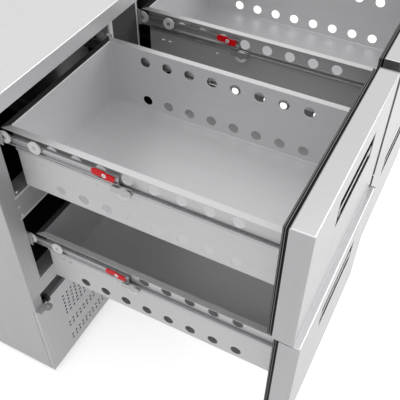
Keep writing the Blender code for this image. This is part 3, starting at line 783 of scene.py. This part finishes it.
def make_roller(name, centre, hub=hub_radius, pin=rivet_radius, pin_steel=hub_steel):
    """A nylon wheel with a sunk hub and a rivet head, facing -X."""
    wheel = round_bar(name, centre, roller_radius, roller_width, "x", 40)
    edit(wheel, "FACE", lambda place, normal: normal.x < -0.9)
    set_back(roller_radius - hub, roller_width / 2)
    leave()
    soften(wheel, sheet_edge, 2, 50)
    paint(wheel, nylon.material)
    rivet = round_bar(f"{name}_rivet", centre, pin, roller_width * 0.7, "x", 20)
    soften(rivet, rivet_edge, 2, 50)
    paint(rivet, pin_steel)
    return wheel, rivet


def fit_out(first, home, places):
    """Copies pieces made for one slide to the others, mirrored for the right hand.

    Each place is a CAD node, its hand and its body. The first piece stands for the node."""
    home_low, home_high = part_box(home)
    for node, hand, body in places:
        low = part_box(node)[0]
        for number, piece in enumerate(first):
            copy = piece
            if node != home and hand == "left":
                copy = copied(piece, f"{node}_{number}", low - home_low)
            elif node != home:
                mirrored_low = Vector((-home_high.x, home_low.y, home_low.z))
                copy = copied(piece, f"{node}_{number}", low - mirrored_low, 0)
            if number:
                belong(copy, body, node)
            else:
                belong(copy, body, node, node)


def hands(kind, body):
    """Every hand of every drawer, with its CAD node and the body that it rides on."""
    return [
        (f"{row}_{column}_{kind}_{hand}", hand, f"{row}_{column}_" + body.format(hand=hand))
        for row, column in drawers for hand in columns
    ]


middle_rail_inset = 0.0095
middle_rail_rear = 0.276
roller_y = (0.0575, -0.0078)
roller_drop = 0.019
stop_y = 0.231
stop_drop = 0.0535
stop_x = 0.0124
stop_hub = 0.0056
stop_steel = brushed_steel("dark stop steel", (0.12, 0.12, 0.13), 0.35, "z")
tray_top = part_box("upper_left_tray")[1].z
home_rail = "upper_left_middle_rail_left"
rail_low, rail_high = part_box(home_rail)
wall_x = rail_high.x + middle_rail_inset
slide_y = rail_high.y - middle_rail_rear
middle_rail = rounded_copy("middle_rail", home_rail, rail_rounding, 1)
paint(middle_rail, slide_steel)
slide_pieces = [middle_rail]
for number, y in enumerate(roller_y):
    centre = (rail_low.x + roller_width / 2, slide_y - y, tray_top - roller_drop)
    slide_pieces += make_roller(f"slide_roller_{number}", centre)
stop_centre = (wall_x - stop_x, slide_y - stop_y, tray_top - stop_drop)
slide_pieces += make_roller("stop_roller", stop_centre, stop_hub, stop_hub - rail_rounding, stop_steel)
fit_out(slide_pieces, home_rail, hands("middle_rail", "slides"))

drawer_rail = rounded_copy("drawer_rail", "upper_left_drawer_rail_left", rail_rounding, 2)
paint(drawer_rail, slide_steel)
fit_out([drawer_rail], "upper_left_drawer_rail_left", hands("drawer_rail", "drawer"))

carrier_roller_drop = 0.012
carrier_roller_setback = 0.016
carrier_roller_inset = 0.0199
carrier_roller_y = frame_low.y + carrier_roller_setback
cabinet_rails = rounded_copy("cabinet_rails", "left_carrier_left", rail_rounding, 1)
paint(cabinet_rails, slide_steel)
carrier_pieces = [cabinet_rails]
for row in ("upper", "lower"):
    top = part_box(f"{row}_left_tray")[1].z
    roller_place = (wall_x - carrier_roller_inset, carrier_roller_y, top - carrier_roller_drop)
    carrier_pieces += make_roller(f"{row}_cabinet_roller", roller_place)
carriers = [(f"{column}_carrier_{hand}", hand, "cabinet") for column in columns for hand in columns]
fit_out(carrier_pieces, "left_carrier_left", carriers)

# Slide latches: levers moulded in red gloss plastic, of two lobes set a step apart.
# Each turns on a rivet at the front of a middle rail.
latch_corner = 0.0052
lobe_step = 0.0035
lobe_lap = 0.003
latch_front_reach = 0.02
latch_edge = 0.0005
latch_rivet_radius = 0.0044
latch_rivet_height = 0.0012
latch_rivet_sink = 0.0004
latch_rivet_edge = 0.0002
latch_red = Finish("red gloss plastic", (0.82, 0.004, 0.008), 0.3, Specular_IOR_Level=0.2)
mould = latch_red.noise(60, detail=2.0)
latch_red.tint(mould * 0.5, (0.66, 0.003, 0.006))
latch_red.bump(mould, 0.00004)
home_latch = "upper_left_latch_left"
latch_low, latch_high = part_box(home_latch)
pin_y = latch_low.y + latch_front_reach
pin_z = (latch_low.z + latch_high.z) / 2


def lobe(name, low, high):
    piece = block(name, low, high)
    edit(piece, "EDGE", lambda place, along: abs(along.x) > 0.9)
    bpy.ops.mesh.bevel(offset=latch_corner, segments=5, affect="EDGES")
    leave()
    return piece


latch = lobe(
    "latch_lever", latch_low, (latch_high.x, pin_y + lobe_lap, latch_high.z - lobe_step)
)
rear_lobe = lobe(
    "rear_lobe", (latch_low.x, pin_y - lobe_lap, latch_low.z + lobe_step), latch_high
)
carve(latch, rear_lobe, "UNION")
soften(latch, latch_edge, 2)
paint(latch, latch_red.material)
rivet_place = (latch_low.x, pin_y, pin_z)
latch_rivet = round_bar("latch_rivet", rivet_place, latch_rivet_radius, latch_rivet_height, "x", 20)
edit(latch_rivet, "FACE", lambda place, normal: normal.x < -0.9)
set_back(latch_rivet_radius * 0.5, latch_rivet_sink)
leave()
soften(latch_rivet, latch_rivet_edge, 2, 50)
paint(latch_rivet, screw_steel)
fit_out([latch, latch_rivet], home_latch, hands("latch", "latch_{hand}"))

# Refrigeration unit, behind the grille: a welded black compressor, a finned condenser with its fan,
# and a finned evaporator at the back of the cold compartment.
compressor_paint = Finish("black compressor paint", (0.02, 0.02, 0.022), 0.32)
skin = compressor_paint.noise(300, detail=3.0)
compressor_paint.tint(skin * 0.6, (0.045, 0.045, 0.05))
compressor_paint.bump(skin, 0.0002)
fins = brushed_steel("aluminium fins", (0.55, 0.56, 0.58), 0.42, "z")
compressor_edge = 0.0015
machine_parts = (
    ("compressor", compressor_edge, compressor_paint.material, "cabinet"),
    ("condenser", fine_edge, fins, "cabinet"),
    ("evaporator", fine_edge, fins, "cabinet"),
    ("condenser_fan", fine_edge, black_plastic.material, "fan"),
)
for node, rounding, material, body in machine_parts:
    piece = rounded_copy(f"{node}_dressed", node, rounding, 1)
    paint(piece, material)
    belong(piece, body, node, node)

# Feet: levelling feet moulded in black plastic, which carry the base tray.
# They stand in from its four corners, and nothing of them shows from above.
foot_edge = 0.0008
for end in ("front", "rear"):
    for side in columns:
        node = f"foot_{end}_{side}"
        foot = rounded_copy(f"{node}_dressed", node, foot_edge)
        paint(foot, black_plastic.material)
        belong(foot, "cabinet", node, node)

# Studio: a white floor that the camera sees as bright as the white surroundings, with a faint shadow.
# A wide soft light hangs above on the left, and a smaller one stands at the front right.
floor_size = 12
floor_drop = 0.0005
floor_glow = 0.56
mirror_glow = 0.25
bpy.ops.mesh.primitive_plane_add(size=floor_size, location=(0, 0, -floor_drop))
floor = bpy.context.object
floor.name = "studio_floor"
floor_paint = Finish("white studio floor", (0.9, 0.9, 0.9), 0.9)
seen = floor_paint.node("LightPath", output=0)
mirrored = floor_paint.node("LightPath", output=3)
passed = floor_paint.node("LightPath", output=6)
glow = seen.maths("MAXIMUM", seen * floor_glow, seen.maths("MAXIMUM", mirrored, passed) * mirror_glow)
floor_paint.shader.inputs["Emission Strength"].default_value = 1.0
floor_paint.feed("Emission Color", floor_paint.node("CombineColor", {0: glow, 1: glow, 2: glow}))
paint(floor, floor_paint.material)

daylight = 0.6
world = bpy.data.worlds.new("studio")
bpy.context.scene.world = world
world.use_nodes = True
world_tree = world.node_tree
sky = world_tree.nodes["Background"]
sky.inputs["Color"].default_value = (1, 1, 1, 1)
paths = world_tree.nodes.new("ShaderNodeLightPath")
strength = Wire(world_tree, paths.outputs["Is Camera Ray"])
for ray in ("Is Glossy Ray", "Is Transmission Ray"):
    strength = strength.maths("MAXIMUM", strength, Wire(world_tree, paths.outputs[ray]))
strength = strength * (1 - daylight) + daylight
world_tree.links.new(strength.socket, sky.inputs["Strength"])


def soft_light(name, place, aim, size, power):
    bpy.ops.object.light_add(type="AREA", location=place)
    lamp = bpy.context.object
    lamp.name = name
    lamp.data.size = size
    lamp.data.energy = power
    lamp.rotation_euler = (Vector(aim) - Vector(place)).to_track_quat("-Z", "Y").to_euler()


soft_light("light_above", (-0.4, -0.35, 3.0), (0, -0.1, 0.5), 3.0, 17)
soft_light("light_front", (1.6, -2.6, 1.9), (0, -0.3, 0.6), 1.4, 27)

bpy.context.scene.view_settings.view_transform = "Standard"
bpy.context.view_layer.update()
